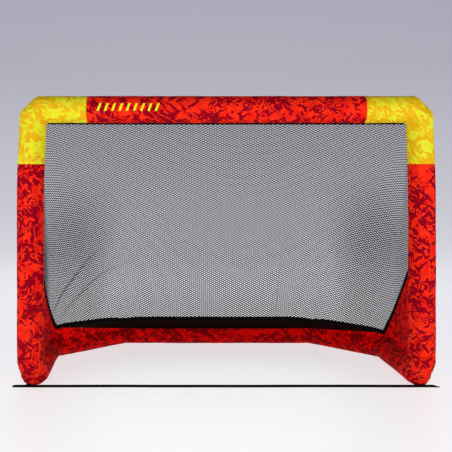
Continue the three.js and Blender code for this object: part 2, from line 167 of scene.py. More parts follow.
def knee_in(side, out, behind, z):
    """How far the side tubes stand in at their rear, most at the floor."""
    rear = smoothstep(0.03, 0.33, behind) * (1 - smoothstep(0.38, 0.60, behind)) * (out > 0.2)
    high = smoothstep(0.02, 0.10, z)
    above = 1 - smoothstep(0.10, 0.40, z)
    return rear * above * (KNEE_IN_LOW[side] * (1 - high) + KNEE_IN_HIGH[side] * high)


def settle(points):
    """Leans the uprights, narrows the toes where they roll over the strap and keeps all above the floor."""
    moved = np.array(points, dtype=float)
    x, y, z = moved[..., 0], moved[..., 1], moved[..., 2]
    behind = y - FRONT_Y
    for side, sign in SIDES.items():
        inwards = lean(side, z)
        near = smoothstep(0.25, 0.50, sign * x) * (1 - smoothstep(0.05, 0.30, behind))
        x = x - sign * inwards * near
        x = shape_foot(x, behind, z, sign, POST_X - inwards)
        x = x - sign * knee_in(side, sign * x, behind, z)
    on_toe = (np.abs(x) > SIDE_STARTS) * (1 - smoothstep(0.03, 0.07, behind))
    y = y - TOE_FORWARD * on_toe * (1 - smoothstep(0.0, TOE_ROLL_TOP, z))
    over_strap = (np.abs(x) < STRAP_HALF) & (y < FRONT_Y + 8 * MM)
    z = np.maximum(z, np.where(over_strap, STRAP_TOP, FLOOR_GAP))
    return np.stack([x, y, z], axis=-1)


# ---------------------------------------------------------------- inflated tubes
AROUND = 72
RING_STEP = 5 * MM


def tube_frames(path):
    """For each path point: the direction in, the mitre normal and the two directions across the tube."""
    path = [Vector(p) for p in path]
    steps = [(b - a).normalized() for a, b in zip(path, path[1:])]
    across = Vector((0, 1, 0)) if abs(steps[0].z) > 0.9 else Vector((0, 0, 1))
    frames = []
    for i, point in enumerate(path):
        into = steps[max(i - 1, 0)]
        out = steps[min(i, len(steps) - 1)]
        frames.append((point, into, into + out, across.copy(), into.cross(across)))
        across.rotate(into.rotation_difference(out))
    return frames


def mitred_ring(point, into, mitre, across, beside, radius):
    angle = np.linspace(0, 2 * np.pi, AROUND, endpoint=False)[:, None]
    radial = np.cos(angle) * np.array(across) + np.sin(angle) * np.array(beside)
    offset = radius * radial
    slide = (offset @ np.array(mitre)) / into.dot(mitre)
    return np.array(point) + offset - slide[:, None] * np.array(into), radial


def inflated_tube(path, radius=TUBE_R, puckered_ends=(True, True)):
    """Rings of points round a mitred path, with soft creases at its bends and puckers at its sewn ends."""
    frames = tube_frames(path)
    rings = [mitred_ring(*f, radius) for f in frames]
    points, radials, crease, end = [], [], [], []
    lengths = [(b[0] - a[0]).length for a, b in zip(frames, frames[1:])]
    total, start = sum(lengths), 0.0
    for i, length in enumerate(lengths):
        count = max(3, math.ceil(length / RING_STEP))
        for k in range(count + (i == len(lengths) - 1)):
            t = k / count
            points.append(rings[i][0] * (1 - t) + rings[i + 1][0] * t)
            radials.append(rings[i][1] if t < 1 else rings[i + 1][1])
            to_crease = [t * length] * (i > 0) + [(1 - t) * length] * (i < len(lengths) - 1)
            crease.append(min(to_crease, default=1.0))
            along = start + t * length
            ends = [along] * puckered_ends[0] + [total - along] * puckered_ends[1]
            end.append(min(ends, default=1.0))
        start += length
    points, radials = soften(np.array(points), np.array(crease)), np.array(radials)
    return settle(points + radials * pucker(points, np.array(crease), np.array(end))[..., None])


def soften(points, crease):
    """Rounds the bends by averaging neighbouring rings close to a crease."""
    weight = np.exp(-((crease / (6 * MM)) ** 2))[:, None, None] * 0.5
    for _ in range(3):
        mean = points.copy()
        mean[1:-1] = (points[:-2] + points[2:]) / 2
        points = points * (1 - weight) + mean * weight
    return points


def pucker(points, crease, end):
    """How far the cloth stands proud of the round tube, in metres."""
    angle = np.linspace(0, 2 * np.pi, AROUND, endpoint=False)[None, :]
    crease, end = crease[:, None], end[:, None]
    wander = noise_at(points, 22.0, 3.0)
    sewn = 0.5 * MM * np.sin(26 * angle + 5 * wander) * np.exp(-end / (14 * MM))
    seam = -0.5 * MM * np.exp(-((end / (2.5 * MM)) ** 2))
    folds = 0.9 * MM * np.sin(15 * angle + 4 * wander) * np.exp(-crease / (22 * MM))
    gather = -0.8 * MM * np.exp(-((crease / (3.5 * MM)) ** 2))
    uneven = 0.7 * MM * noise_at(points, 9.0, 11.0) + 0.25 * MM * noise_at(points, 34.0, 5.0)
    return sewn + seam + folds + gather + uneven


def bends(sign):
    """The bends of the tube on one side, from the crossbar round to the back bar."""
    return {
        "crossbar_end": (sign * (POST_X - ELBOW_CUT), FRONT_Y, CROSSBAR_Z),
        "upright_top": (sign * POST_X, FRONT_Y, CROSSBAR_Z - ELBOW_CUT),
        "upright_foot": (sign * POST_X, FRONT_Y, BASE_Z + ELBOW_CUT),
        "side_front": (sign * POST_X, FRONT_Y + ELBOW_CUT, BASE_Z),
        "side_rear": (sign * POST_X, TURN_Y, BASE_Z),
        "back_end": (sign * BACK_END_X, BACK_Y, BASE_Z),
    }


PORT_R = 9 * MM
VALVE = middle("valve_body")


def open_port(tube):
    """Takes out the faces that lie in the valve's way."""
    edit = bmesh.new()
    edit.from_mesh(tube.data)
    centres = [(face, face.calc_center_median()) for face in edit.faces]
    in_port = [f for f, c in centres if c.y > BACK_Y and math.hypot(c.x - VALVE.x, c.z - VALVE.z) < PORT_R]
    bmesh.ops.delete(edit, geom=in_port, context="FACES")
    edit.to_mesh(tube.data)
    edit.free()


def make_sleeves(red, yellow):
    def sleeve(node, path, material, slot):
        cloth = grid_object(f"{node}_cloth", inflated_tube(path), material, closed=True, thickness=0.8 * MM)
        return place(cloth, slot, node)

    crossbar = [(x, FRONT_Y, CROSSBAR_Z) for x in (-CROSSBAR_SEAM, CROSSBAR_SEAM)]
    sleeve("crossbar_sleeve", crossbar, red, "red_fabric")
    back = [(x, BACK_Y, BASE_Z) for x in (-BACK_SEAM, BACK_SEAM)]
    open_port(sleeve("back_sleeve", back, red, "red_fabric"))
    for side, sign in SIDES.items():
        at = bends(sign)
        top = (sign * CROSSBAR_SEAM, FRONT_Y, CROSSBAR_Z)
        upright = (sign * POST_X, FRONT_Y, UPRIGHT_SEAM)
        foot = (sign * POST_X, FRONT_Y, FOOT_SEAM)
        heel = (sign * POST_X, HEEL_SEAM, BASE_Z)
        turn = (sign * POST_X, TURN_SEAM, BASE_Z)
        back = (sign * BACK_SEAM, BACK_Y, BASE_Z)
        corner = [top, at["crossbar_end"], at["upright_top"], upright]
        sleeve(f"corner_sleeve_{side}", corner, yellow, "yellow_fabric")
        sleeve(f"upright_sleeve_{side}", [upright, foot], red, "red_fabric")
        sleeve(f"foot_sleeve_{side}", [foot, at["upright_foot"], at["side_front"], heel], red, "red_fabric")
        sleeve(f"side_sleeve_{side}", [heel, turn], red, "red_fabric")
        sleeve(f"rear_corner_sleeve_{side}", [turn, at["side_rear"], at["back_end"], back], red, "red_fabric")


def make_bladder(film):
    right, left = list(bends(1).values()), list(bends(-1).values())
    path = [(MM, BACK_Y, BASE_Z), *reversed(right), *left, (-MM, BACK_Y, BASE_Z)]
    points = inflated_tube(path, TUBE_R - 3 * MM, (False, False))
    ends = [np.repeat(points[i].mean(axis=0)[None, None], AROUND, axis=1) for i in (0, -1)]
    points = np.concatenate([ends[0], points, ends[1]])
    bladder = grid_object("air_bladder_film", points, film, closed=True)
    open_port(place(bladder, "bladder_film", "air_bladder"))


# ---------------------------------------------------------------- the net's surface
# The net is one cloth cut flat: p is metres across it and q metres down from the crossbar. Behind the
# mouth it is a plane; past a line from each top corner it folds round towards the upright.
TAPE_W = 12 * MM
TOP_SEAM = 28.6 * MM  # the net is sewn on this far behind and below the crossbar's centre
NET_TOP = Vector((0, FRONT_Y + TOP_SEAM, CROSSBAR_Z - TOP_SEAM))
SEAM_ANGLE = math.pi / 3
SEAM_R = TUBE_R + 0.6 * MM
SEAM_IN = SEAM_R * math.sin(SEAM_ANGLE)
NET_FOOT = Vector((0, BACK_Y - SEAM_IN, BASE_Z + SEAM_R * math.cos(SEAM_ANGLE)))
NET_DROP = (NET_FOOT - NET_TOP).length
FALL = np.array((NET_FOOT - NET_TOP) / NET_DROP)
TOP_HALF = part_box("net_back_panel")[1].x
TURN_SHIFT = SEAM_IN * math.tan(math.pi / 8)
FOOT_HALF = BACK_END_X - TURN_SHIFT
SKIRT_W = 60 * MM
HEM_DOWN = NET_DROP - SKIRT_W
HEM_HALF = TOP_HALF + (FOOT_HALF - TOP_HALF) * (HEM_DOWN - TAPE_W) / (NET_DROP - TAPE_W)
APEX = np.array(NET_TOP) + FALL * TAPE_W + np.array((TOP_HALF, 0, 0))
BEND = np.array(NET_TOP) + FALL * HEM_DOWN + np.array((HEM_HALF, 0, 0))
BEND_FOOT = np.array((FOOT_HALF, NET_FOOT.y, NET_FOOT.z))
CORNER = np.array((POST_X - SEAM_IN, TURN_Y - TURN_SHIFT, NET_FOOT.z))
RISE = (BEND - BEND_FOOT) / np.linalg.norm(BEND - BEND_FOOT)
KNEE_SKIRT = 48 * MM
HEM_W = 10 * MM
KNEE = CORNER + RISE * KNEE_SKIRT
KNEE_HEM = KNEE - RISE * HEM_W
PEAK = np.array((SIDE_X, FRONT_Y + 36 * MM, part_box("gusset_tape_right")[1].z))
KNEE_TUG = {"left": 18 * MM, "right": 0.0}  # the knees hang unevenly
KNEE_OUT = 8 * MM
TUG_REACH = 0.34


def unit(vector):
    return vector / np.linalg.norm(vector)


def angle_between(a, b):
    return math.acos(float(unit(a) @ unit(b)))


class Fan:
    """The folded part of the net on the right: rays from the top corner, at an angle from the fold line."""

    flank = angle_between(BEND - APEX, KNEE - APEX)
    side = angle_between(KNEE - APEX, PEAK - APEX)
    inner = math.atan2(TOP_HALF - HEM_HALF, HEM_DOWN - TAPE_W)
    step = math.radians(0.25)
    blur = math.radians(9)

    def __init__(self):
        self.angles = np.arange(-2.2, self.flank + self.side + 0.6, self.step)
        sharp = np.array([self.direction(a) for a in self.angles])
        half = round(self.blur / self.step)
        kernel = np.hanning(2 * half + 3)[1:-1]
        padded = np.pad(sharp, ((half, half), (0, 0)), mode="edge")
        smooth = np.stack([np.convolve(padded[:, i], kernel, "valid") for i in range(3)], axis=1)
        self.rays = smooth / np.linalg.norm(smooth, axis=1, keepdims=True)

    def direction(self, angle):
        bend, knee, peak = (unit(v - APEX) for v in (BEND, KNEE, PEAK))
        if angle < 0:
            return self.turned(bend, np.array((-1.0, 0, 0)), -angle)
        if angle < self.flank:
            return self.turned(bend, knee, angle)
        return self.turned(knee, peak, angle - self.flank)

    @staticmethod
    def turned(start, toward, angle):
        beside = unit(toward - start * (start @ toward))
        return start * math.cos(angle) + beside * math.sin(angle)

    def place(self, distance, angle):
        ray = np.stack([np.interp(angle, self.angles, self.rays[:, i]) for i in range(3)], axis=-1)
        return APEX + distance[..., None] * ray

    def polar(self, across, down):
        """Distance and angle of a point of the flat cloth, with across counted outwards."""
        out, drop = across - TOP_HALF, down - TAPE_W
        return np.hypot(out, drop), np.arctan2(out, drop) + self.inner

    def reach(self, angle):
        """How far a ray runs before it meets the hem or the gusset's edge."""
        to_bend, to_knee, to_peak = (np.linalg.norm(v - APEX) for v in (BEND, KNEE, PEAK))
        on_flank = self.chord(to_bend, to_knee, self.flank, angle)
        on_side = self.chord(to_knee, to_peak, self.side, angle - self.flank)
        return np.where(angle < self.flank, on_flank, on_side)

    @staticmethod
    def chord(first, second, spread, angle):
        angle = np.clip(angle, 0, spread)
        return first * second * math.sin(spread) / (first * np.sin(angle) + second * np.sin(spread - angle))


FAN = Fan()
SAG = 14 * MM
FOLDS = [  # soft folds near the lower corners: from, to (metres across and down), depth
    ((-0.66, 0.71), (-0.38, 0.49), 3.5 * MM),
    ((-0.60, 0.72), (-0.28, 0.55), 2.5 * MM),
    ((-0.54, 0.78), (-0.42, 0.80), 1.5 * MM),
    ((0.66, 0.70), (0.42, 0.81), 3.0 * MM),
    ((0.62, 0.76), (0.44, 0.86), 2.5 * MM),
]
FOLD_WIDTH = 8 * MM
CREASE_WIDTH = 4.5 * MM
CREASE_STRANDS = 0.55  # the strands bunch up along a crease, in share of its depth


def tugged(points):
    """Lifts or drops the cloth round each knee."""
    moved = np.array(points, dtype=float)
    for side, sign in SIDES.items():
        away = np.linalg.norm(moved - KNEE * np.array((sign, 1, 1)), axis=-1)
        near = np.clip(1 - away / TUG_REACH, 0, 1)
        moved[..., 0] += sign * KNEE_OUT * near
        moved[..., 2] += KNEE_TUG[side] * near
    return moved


def net_plain(p, q):
    sign = np.where(p < 0, -1.0, 1.0)
    distance, angle = FAN.polar(np.abs(p), q)
    point = FAN.place(distance, angle)
    point[..., 0] *= sign
    return point


def folded(p, q, width):
    """How deep the folds are at (p, q)."""
    depth = np.zeros_like(p)
    for start, end, deep in FOLDS:
        a, b = np.array(start), np.array(end)
        along = ((p - a[0]) * (b - a)[0] + (q - a[1]) * (b - a)[1]) / ((b - a) @ (b - a))
        off = np.hypot(p - a[0] - along * (b - a)[0], q - a[1] - along * (b - a)[1])
        depth += deep * np.exp(-((off / width) ** 2)) * np.sin(np.pi * np.clip(along, 0, 1))
    return depth


def net_surface(p, q):
    """The net's point at (p, q) of its flat cloth, sagging and lightly folded, and the normal there."""
    nudge = 2 * MM
    point = net_plain(p, q)
    normal = np.cross(net_plain(p + nudge, q) - point, net_plain(p, q + nudge) - point)
    normal /= np.linalg.norm(normal, axis=-1, keepdims=True)
    inside = np.clip(1 - (np.abs(p) / TOP_HALF) ** 2, 0, 1) * np.sin(np.pi * np.clip(q / NET_DROP, 0, 1))
    depth = folded(p, q, FOLD_WIDTH) - SAG * inside
    return settle(tugged(point + normal * depth[..., None])), normal


# ---------------------------------------------------------------- the net's mesh
COLUMN = 7.0 * MM
PITCH = 7.8 * MM
UPRIGHT_STRAND, UPRIGHT_STRAND_LOW = 0.8 * MM, 1.6 * MM
STRAND, STRAND_LOW = 3.2 * MM, 4.7 * MM  # the level strands; holes shrink near the hem and at the sides
STRAND_T = 1.0 * MM
LEAN = 0.02  # the cloth hangs slightly askew
SPREAD = 0.06  # its columns draw together downwards
ARCH = 0.35  # its rows droop towards both sides, less so near the hem
STRETCH = 0.4  # and lie further apart there
STRETCH_DOWN = 0.25  # as they do towards the hem
BEND_LEAN = 0.2  # the flanks start along a line that leans in by this much
BEND_EASE = 30 * MM
RISE_BEYOND = 0.9  # beyond that line the rows climb again towards the uprights


def cloth_place(a, b):
    """Where the lattice point (a, b) lies on the flat cloth."""
    out = np.abs(a) - (TOP_HALF - BEND_LEAN * b)
    beyond = (out + np.hypot(out, BEND_EASE)) / 2
    droop = (1 - b) * (ARCH / 2 + STRETCH * b) * a * a - RISE_BEYOND * b * beyond
    return a + b * (LEAN - SPREAD * a), b * (1 + STRETCH_DOWN * b) - LEAN * a + droop


def inside_net(p, q, margin):
    distance, angle = FAN.polar(np.abs(p), q)
    in_plane = (angle < 0) & (q < HEM_DOWN + margin) & (q > TAPE_W - margin)
    limit = FAN.flank + FAN.side + margin / np.maximum(distance, margin)
    in_fan = (angle >= 0) & (angle < limit) & (distance < FAN.reach(angle) + margin)
    return in_plane | in_fan


def net_cells():
    """Centres of the staggered holes that lie on the net, as lattice points."""
    across = np.arange(-110, 111)
    down = np.arange(-20, 120)
    column, row = np.meshgrid(across, down, indexing="ij")
    centre = np.stack([column * COLUMN, (row + 0.5 * (column % 2)) * PITCH], axis=-1).reshape(-1, 2)
    p, q = cloth_place(centre[:, 0], centre[:, 1])
    keep = inside_net(p, q, 4 * MM)
    return centre[keep], p[keep], q[keep]


def hexagon():
    """Corners of the cell round a staggered hole."""
    slant = (PITCH / 2) ** 2 / (2 * COLUMN)
    far, near, half = COLUMN / 2 + slant, COLUMN / 2 - slant, PITCH / 2
    return np.array([(near, -half), (far, 0), (near, half), (-near, half), (-far, 0), (-near, -half)])


def hole_share(centres):
    """The width and height of every hole, as a share of its cell's."""
    p, q = centres[:, 0], centres[:, 1]
    drop = smoothstep(0.25, 0.85, q)
    side = smoothstep(0.28, 0.5, np.abs(p)) * smoothstep(0.1, 0.4, q)
    drawn = np.maximum(drop, side)
    upright = UPRIGHT_STRAND + (UPRIGHT_STRAND_LOW - UPRIGHT_STRAND) * drawn
    level = STRAND + (STRAND_LOW - STRAND) * drawn + CREASE_STRANDS * folded(*cloth_place(p, q), CREASE_WIDTH)
    return np.stack([1 - upright / COLUMN, 1 - level / PITCH], axis=1)


def net_mesh(name, centres, material):
    """Strands with a lozenge section round every hole: crests on the cell's edge, a sharp rim at the hole."""
    cell = hexagon()
    outer = (centres[:, None, :] + cell[None]).reshape(-1, 2)
    keys = np.round(outer / (0.05 * MM)).astype(np.int64)
    _, first, shared = np.unique(keys, axis=0, return_index=True, return_inverse=True)
    shared = shared.reshape(-1, 6)
    rim = (centres[:, None, :] + cell[None] * hole_share(centres)[:, None, :]).reshape(-1, 2)
    crest, up = net_surface(*cloth_place(outer[first, 0], outer[first, 1]))
    hole, _ = net_surface(*cloth_place(rim[:, 0], rim[:, 1]))
    count = len(crest)
    vertices = np.concatenate([crest + up * STRAND_T / 2, crest - up * STRAND_T / 2, hole])
    rims = 2 * count + np.arange(len(hole)).reshape(-1, 6)
    faces = []
    for k in range(6):
        n = (k + 1) % 6
        faces.append(np.stack([shared[:, k], shared[:, n], rims[:, n], rims[:, k]], axis=1))
        faces.append(np.stack([count + shared[:, n], count + shared[:, k], rims[:, k], rims[:, n]], axis=1))
    edges = np.concatenate([np.stack([shared[:, k], shared[:, (k + 1) % 6]], axis=1) for k in range(6)])
    _, index, uses = np.unique(np.sort(edges, axis=1), axis=0, return_index=True, return_counts=True)
    open_edges = edges[index[uses == 1]]
    begin, end = open_edges[:, 0], open_edges[:, 1]
    faces.append(np.stack([end, begin, count + begin, count + end], axis=1))
    return mesh_object(name, vertices, np.concatenate(faces), material)


MIDDLE_HALF = 0.19  # the net is made in three pieces, so that each stays light


def make_net(material):
    centres, p, q = net_cells()
    left, right = p < -MIDDLE_HALF, p >= MIDDLE_HALF
    parts = {
        "net_middle": (~left & ~right, ["net_back_panel"]),
        "net_left": (left, ["net_flank_left", "net_side_left"]),
        "net_right": (right, ["net_flank_right", "net_side_right"]),
    }
    for name, (chosen, nodes) in parts.items():
        piece = place(net_mesh(name, centres[chosen], material), "net_mesh", *nodes)
        strands = float((1 - hole_share(centres[chosen]).prod(axis=1)).sum()) * COLUMN * PITCH


# ---------------------------------------------------------------- bindings, skirt and gussets
def distances(points):
    """How far along a line each of its points lies."""
    steps = np.linalg.norm(np.diff(points, axis=0), axis=1)
    return np.concatenate([[0], np.cumsum(steps)])


def evenly(points, count):
    """The same line as a number of evenly spaced points."""
    points = np.asarray(points)
    lengths = distances(points)
    at = np.linspace(0, lengths[-1], count)
    return np.stack([np.interp(at, lengths, points[:, i]) for i in range(3)], axis=1)


def stepped(points, step):
    """The same line as points about one step apart."""
    return evenly(points, max(2, math.ceil(distances(points)[-1] / step)) + 1)


def net_edge_flat(start, end, count=60):
    """Points (p, q) down the net's lower right edge, between two angles of the fan."""
    angle = np.linspace(start, end, count)
    distance = FAN.reach(angle)
    out = distance * np.sin(angle - FAN.inner)
    drop = distance * np.cos(angle - FAN.inner)
    return TOP_HALF + out, TAPE_W + drop


def hem_line():
    """The net's foot from the left knee round to the right knee, and the normals along it."""
    p, q = net_edge_flat(0.0, FAN.flank)
    middle_p = np.linspace(-HEM_HALF, HEM_HALF, 200)[1:-1]
    p = np.concatenate([-p[::-1], middle_p, p])
    q = np.concatenate([q[::-1], np.full_like(middle_p, HEM_DOWN), q])
    return net_surface(p, q)


def binding(name, path, inward, width, thickness, material, waves=0.3 * MM):
    """A tape folded over an edge: a flat rounded section swept along the path, wide along inward."""
    path, inward = np.asarray(path), np.asarray(inward)
    along = np.gradient(path, axis=0)
    along /= np.linalg.norm(along, axis=1, keepdims=True)
    face = np.cross(along, inward)
    face /= np.linalg.norm(face, axis=1, keepdims=True)
    turn = np.linspace(0, 2 * np.pi, 20, endpoint=False)
    wide = np.sign(np.cos(turn)) * np.abs(np.cos(turn)) ** 0.35 * width / 2
    thick = np.sign(np.sin(turn)) * np.abs(np.sin(turn)) ** 0.6 * thickness / 2
    ripple = waves * noise_at(path, 30.0, 2.0)[:, None, None]
    points = path[:, None] + inward[:, None] * (wide[None, :, None] + width / 2)
    points = points + face[:, None] * (thick[None, :, None] + ripple)
    caps = [np.repeat(points[i].mean(axis=0)[None, None], len(turn), axis=1) for i in (0, -1)]
    points = np.concatenate([caps[0], points, caps[1]])
    return grid_object(name, points, material, closed=True)


def perpendicular(direction, along):
    """The part of a direction across a line, at unit length, for every point of the line."""
    along = along / np.linalg.norm(along, axis=1, keepdims=True)
    across = direction - along * np.sum(direction * along, axis=1, keepdims=True)
    return across / np.linalg.norm(across, axis=1, keepdims=True)


def mirrored(sign, *points):
    return [p * np.array((sign, 1, 1)) for p in points]


def between(first, second, rows):
    """A grid of points from one line to another with as many points."""
    t = np.linspace(0, 1, rows)[:, None, None]
    return first[None] * (1 - t) + second[None] * t


def skirt_grid(columns=260, rows=9):
    hem, _ = hem_line()
    hem = evenly(hem, columns)
    ends = mirrored(-1, KNEE_HEM, BEND_FOOT) + mirrored(1, BEND_FOOT, KNEE_HEM)
    foot = tugged(evenly(ends, columns))
    sheet = between(hem, foot, rows)
    slack = np.sin(np.pi * np.linspace(0, 1, rows))[:, None]
    sheet[..., 2] += 1.2 * MM * noise_at(sheet, 16.0, 8.0) * slack
    return sheet


def make_skirt(mesh_cloth, tape):
    sheet = skirt_grid()
    skirt = grid_object("skirt", sheet, mesh_cloth, thickness=0.7 * MM, offset=0.0)
    place(skirt, "skirt_mesh", "skirt_back", "skirt_left", "skirt_right")

    hem = stepped(sheet[0], 6 * MM)
    inward = perpendicular(np.array((0.0, 0.25, -1.0)), np.gradient(hem, axis=0))
    hem_tape = binding("hem_tape", hem - inward * 3 * MM, inward, 14 * MM, 2.2 * MM, tape)
    place(hem_tape, "black_tape", "hem_tape_back", "hem_tape_left", "hem_tape_right")


def gusset_edge(sign):
    """The gusset's sloping edge from the upright to the knee."""
    p, q = net_edge_flat(FAN.flank + FAN.side, FAN.flank + 0.002)
    edge, _ = net_surface(sign * p, q)
    return edge


def taut_cloth(name, upper, lower, material):
    """A sheet from one line to another, pulled into faint upright ripples."""
    sheet = between(upper, lower, 30)
    slack = np.sin(np.pi * np.linspace(0, 1, 30))[:, None]
    sheet[..., 0] += 1.8 * MM * noise_at(sheet * np.array((1, 1, 0.35)), 24.0, 4.0) * slack
    cloth = grid_object(name, sheet, material, thickness=0.7 * MM, offset=0.0)
    return cloth


SEAM_ALLOWANCE = 5 * MM  # the gusset's front edge is sewn into the upright's seam
GUSSET_FOOT = BASE_Z + 33.5 * MM
GUSSET_FOOT_DROP = 6 * MM  # lower at its front, where it meets the upright


def make_gusset(side, sign, red, tape):
    """Cloth beside the mouth, folded at the knee and tapering to nothing along the cut-off corner."""
    edge = evenly(gusset_edge(sign), 70)
    edge = np.concatenate([edge[:1] - np.array((0, SEAM_ALLOWANCE, 0)), edge])
    low = GUSSET_FOOT - GUSSET_FOOT_DROP * (1 - smoothstep(0.0, 0.03, edge[:, 1] - edge[0, 1]))
    foot = np.stack([np.full(len(edge), sign * SIDE_X), edge[:, 1], low], axis=1)
    tip, corner, knee = mirrored(sign, BEND_FOOT, CORNER, KNEE_HEM)
    turn = edge[-1] - np.array((0, 0, HEM_W))
    upper = evenly([turn, tugged(knee), tip], 50)
    lower = evenly([foot[-1], corner, tip], 50)
    cloth = taut_cloth(f"gusset_{side}_cloth", edge, foot, red)
    place(cloth, "red_fabric", f"gusset_{side}")
    place(taut_cloth(f"gusset_{side}_tail", upper, lower, red), "red_fabric")

    edge = stepped(edge[1:], 6 * MM)
    inward = perpendicular(np.array((0.0, -0.6, -0.8)), np.gradient(edge, axis=0))
    line = binding(f"gusset_tape_{side}_cloth", edge - inward * 5 * MM, inward, 15 * MM, 4.5 * MM, tape)
    place(line, "black_tape", f"gusset_tape_{side}")


def make_net_tapes(tape):
    half = TOP_HALF - 14 * MM
    p = np.linspace(-half, half, 180)
    line, _ = net_surface(p, np.full_like(p, TAPE_W + 3 * MM))
    down = np.tile(-FALL, (len(p), 1))
    inward = perpendicular(down, np.gradient(line, axis=0))
    top = binding("net_top_tape_cloth", line, inward, 16 * MM, 2.0 * MM, tape)
    place(top, "black_tape", "net_top_tape")
    for side, sign in SIDES.items():
        z = np.linspace(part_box("net_side_tape_left")[0].z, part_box("net_side_tape_left")[1].z, 70)
        line = np.stack([np.full_like(z, sign * SIDE_X), np.full_like(z, FRONT_Y + 33 * MM), z], axis=1)
        inward = np.tile((0.0, 1.0, 0.0), (len(z), 1))
        strip = binding(f"net_side_tape_{side}_cloth", settle(line), inward, 14 * MM, 2.0 * MM, tape)
        place(strip, "black_tape", f"net_side_tape_{side}")


# ---------------------------------------------------------------- strap on the goal line
STRAP_CUT, STRAP_ROUND = 14 * MM, 7 * MM  # one end is cut on the slant, the other is rounded
CUT_REACH, ROUND_REACH = 20 * MM, 2 * MM
STRAP_MIDDLE, STRAP_THICKNESS = 0.9 * MM, 1.4 * MM
STRAP_RIPPLE = 0.5 * MM
STRAP_LOWEST = 0.75 * MM


def make_strap(webbing):
    low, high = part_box("goal_line_strap")
    x = np.linspace(low.x, high.x, 240)
    y = np.linspace(low.y, high.y, 13)
    grid = np.stack(np.meshgrid(x, y, indexing="ij"), axis=-1)
    across = (grid[..., 1] - low.y) / (high.y - low.y)
    start = grid[..., 0] - low.x
    slant = STRAP_CUT * across * (grid[..., 0] > high.x - CUT_REACH)
    grid[..., 0] += STRAP_ROUND * (2 * across - 1) ** 2 * (start < ROUND_REACH) - slant
    ripple = noise_at(np.dstack([grid, np.zeros_like(across)]), 7.0, 1.0) + 0.3
    z = np.maximum(STRAP_MIDDLE + STRAP_RIPPLE * ripple, STRAP_LOWEST)
    points = np.concatenate([grid, z[..., None]], axis=-1)
    strap = grid_object("goal_line_strap_webbing", points, webbing, thickness=STRAP_THICKNESS, offset=0.0)
    place(strap, "black_tape", "goal_line_strap")


# ---------------------------------------------------------------- generic mark on the crossbar
BARS = 9
BAR_WIDTH, BAR_GAP, BAR_HEIGHT = 7 * MM, 13.5 * MM, 22 * MM
BAR_SLANT = 8 * MM
MARK_START = 40 * MM  # from the yellow corner
MARK_TILT = 0.12  # its middle is a little above the crossbar's centre line
INK_PROUD = 1.0 * MM


def bar_points(left):
    """One slanted bar, wrapped round the front of the crossbar."""
    across, up = np.meshgrid(np.linspace(0, 1, 4), np.linspace(-0.5, 0.5, 9), indexing="ij")
    angle = up * BAR_HEIGHT / TUBE_R + MARK_TILT
    radius = TUBE_R + INK_PROUD
    x = left + across * BAR_WIDTH + up * BAR_SLANT
    return np.stack([x, FRONT_Y - radius * np.cos(angle), CROSSBAR_Z + radius * np.sin(angle)], axis=-1)


def make_mark(ink):
    """A row of slanted bars printed on the front of the crossbar."""
    vertices, faces = [], []
    for i in range(BARS):
        bar = bar_points(-CROSSBAR_SEAM + MARK_START + i * (BAR_WIDTH + BAR_GAP))
        faces.append(grid_faces(*bar.shape[:2], False) + i * bar[..., 0].size)
        vertices.append(bar.reshape(-1, 3))
    mark = mesh_object("crossbar_mark", np.concatenate(vertices), np.concatenate(faces), ink)
    place(mark, "yellow_fabric")


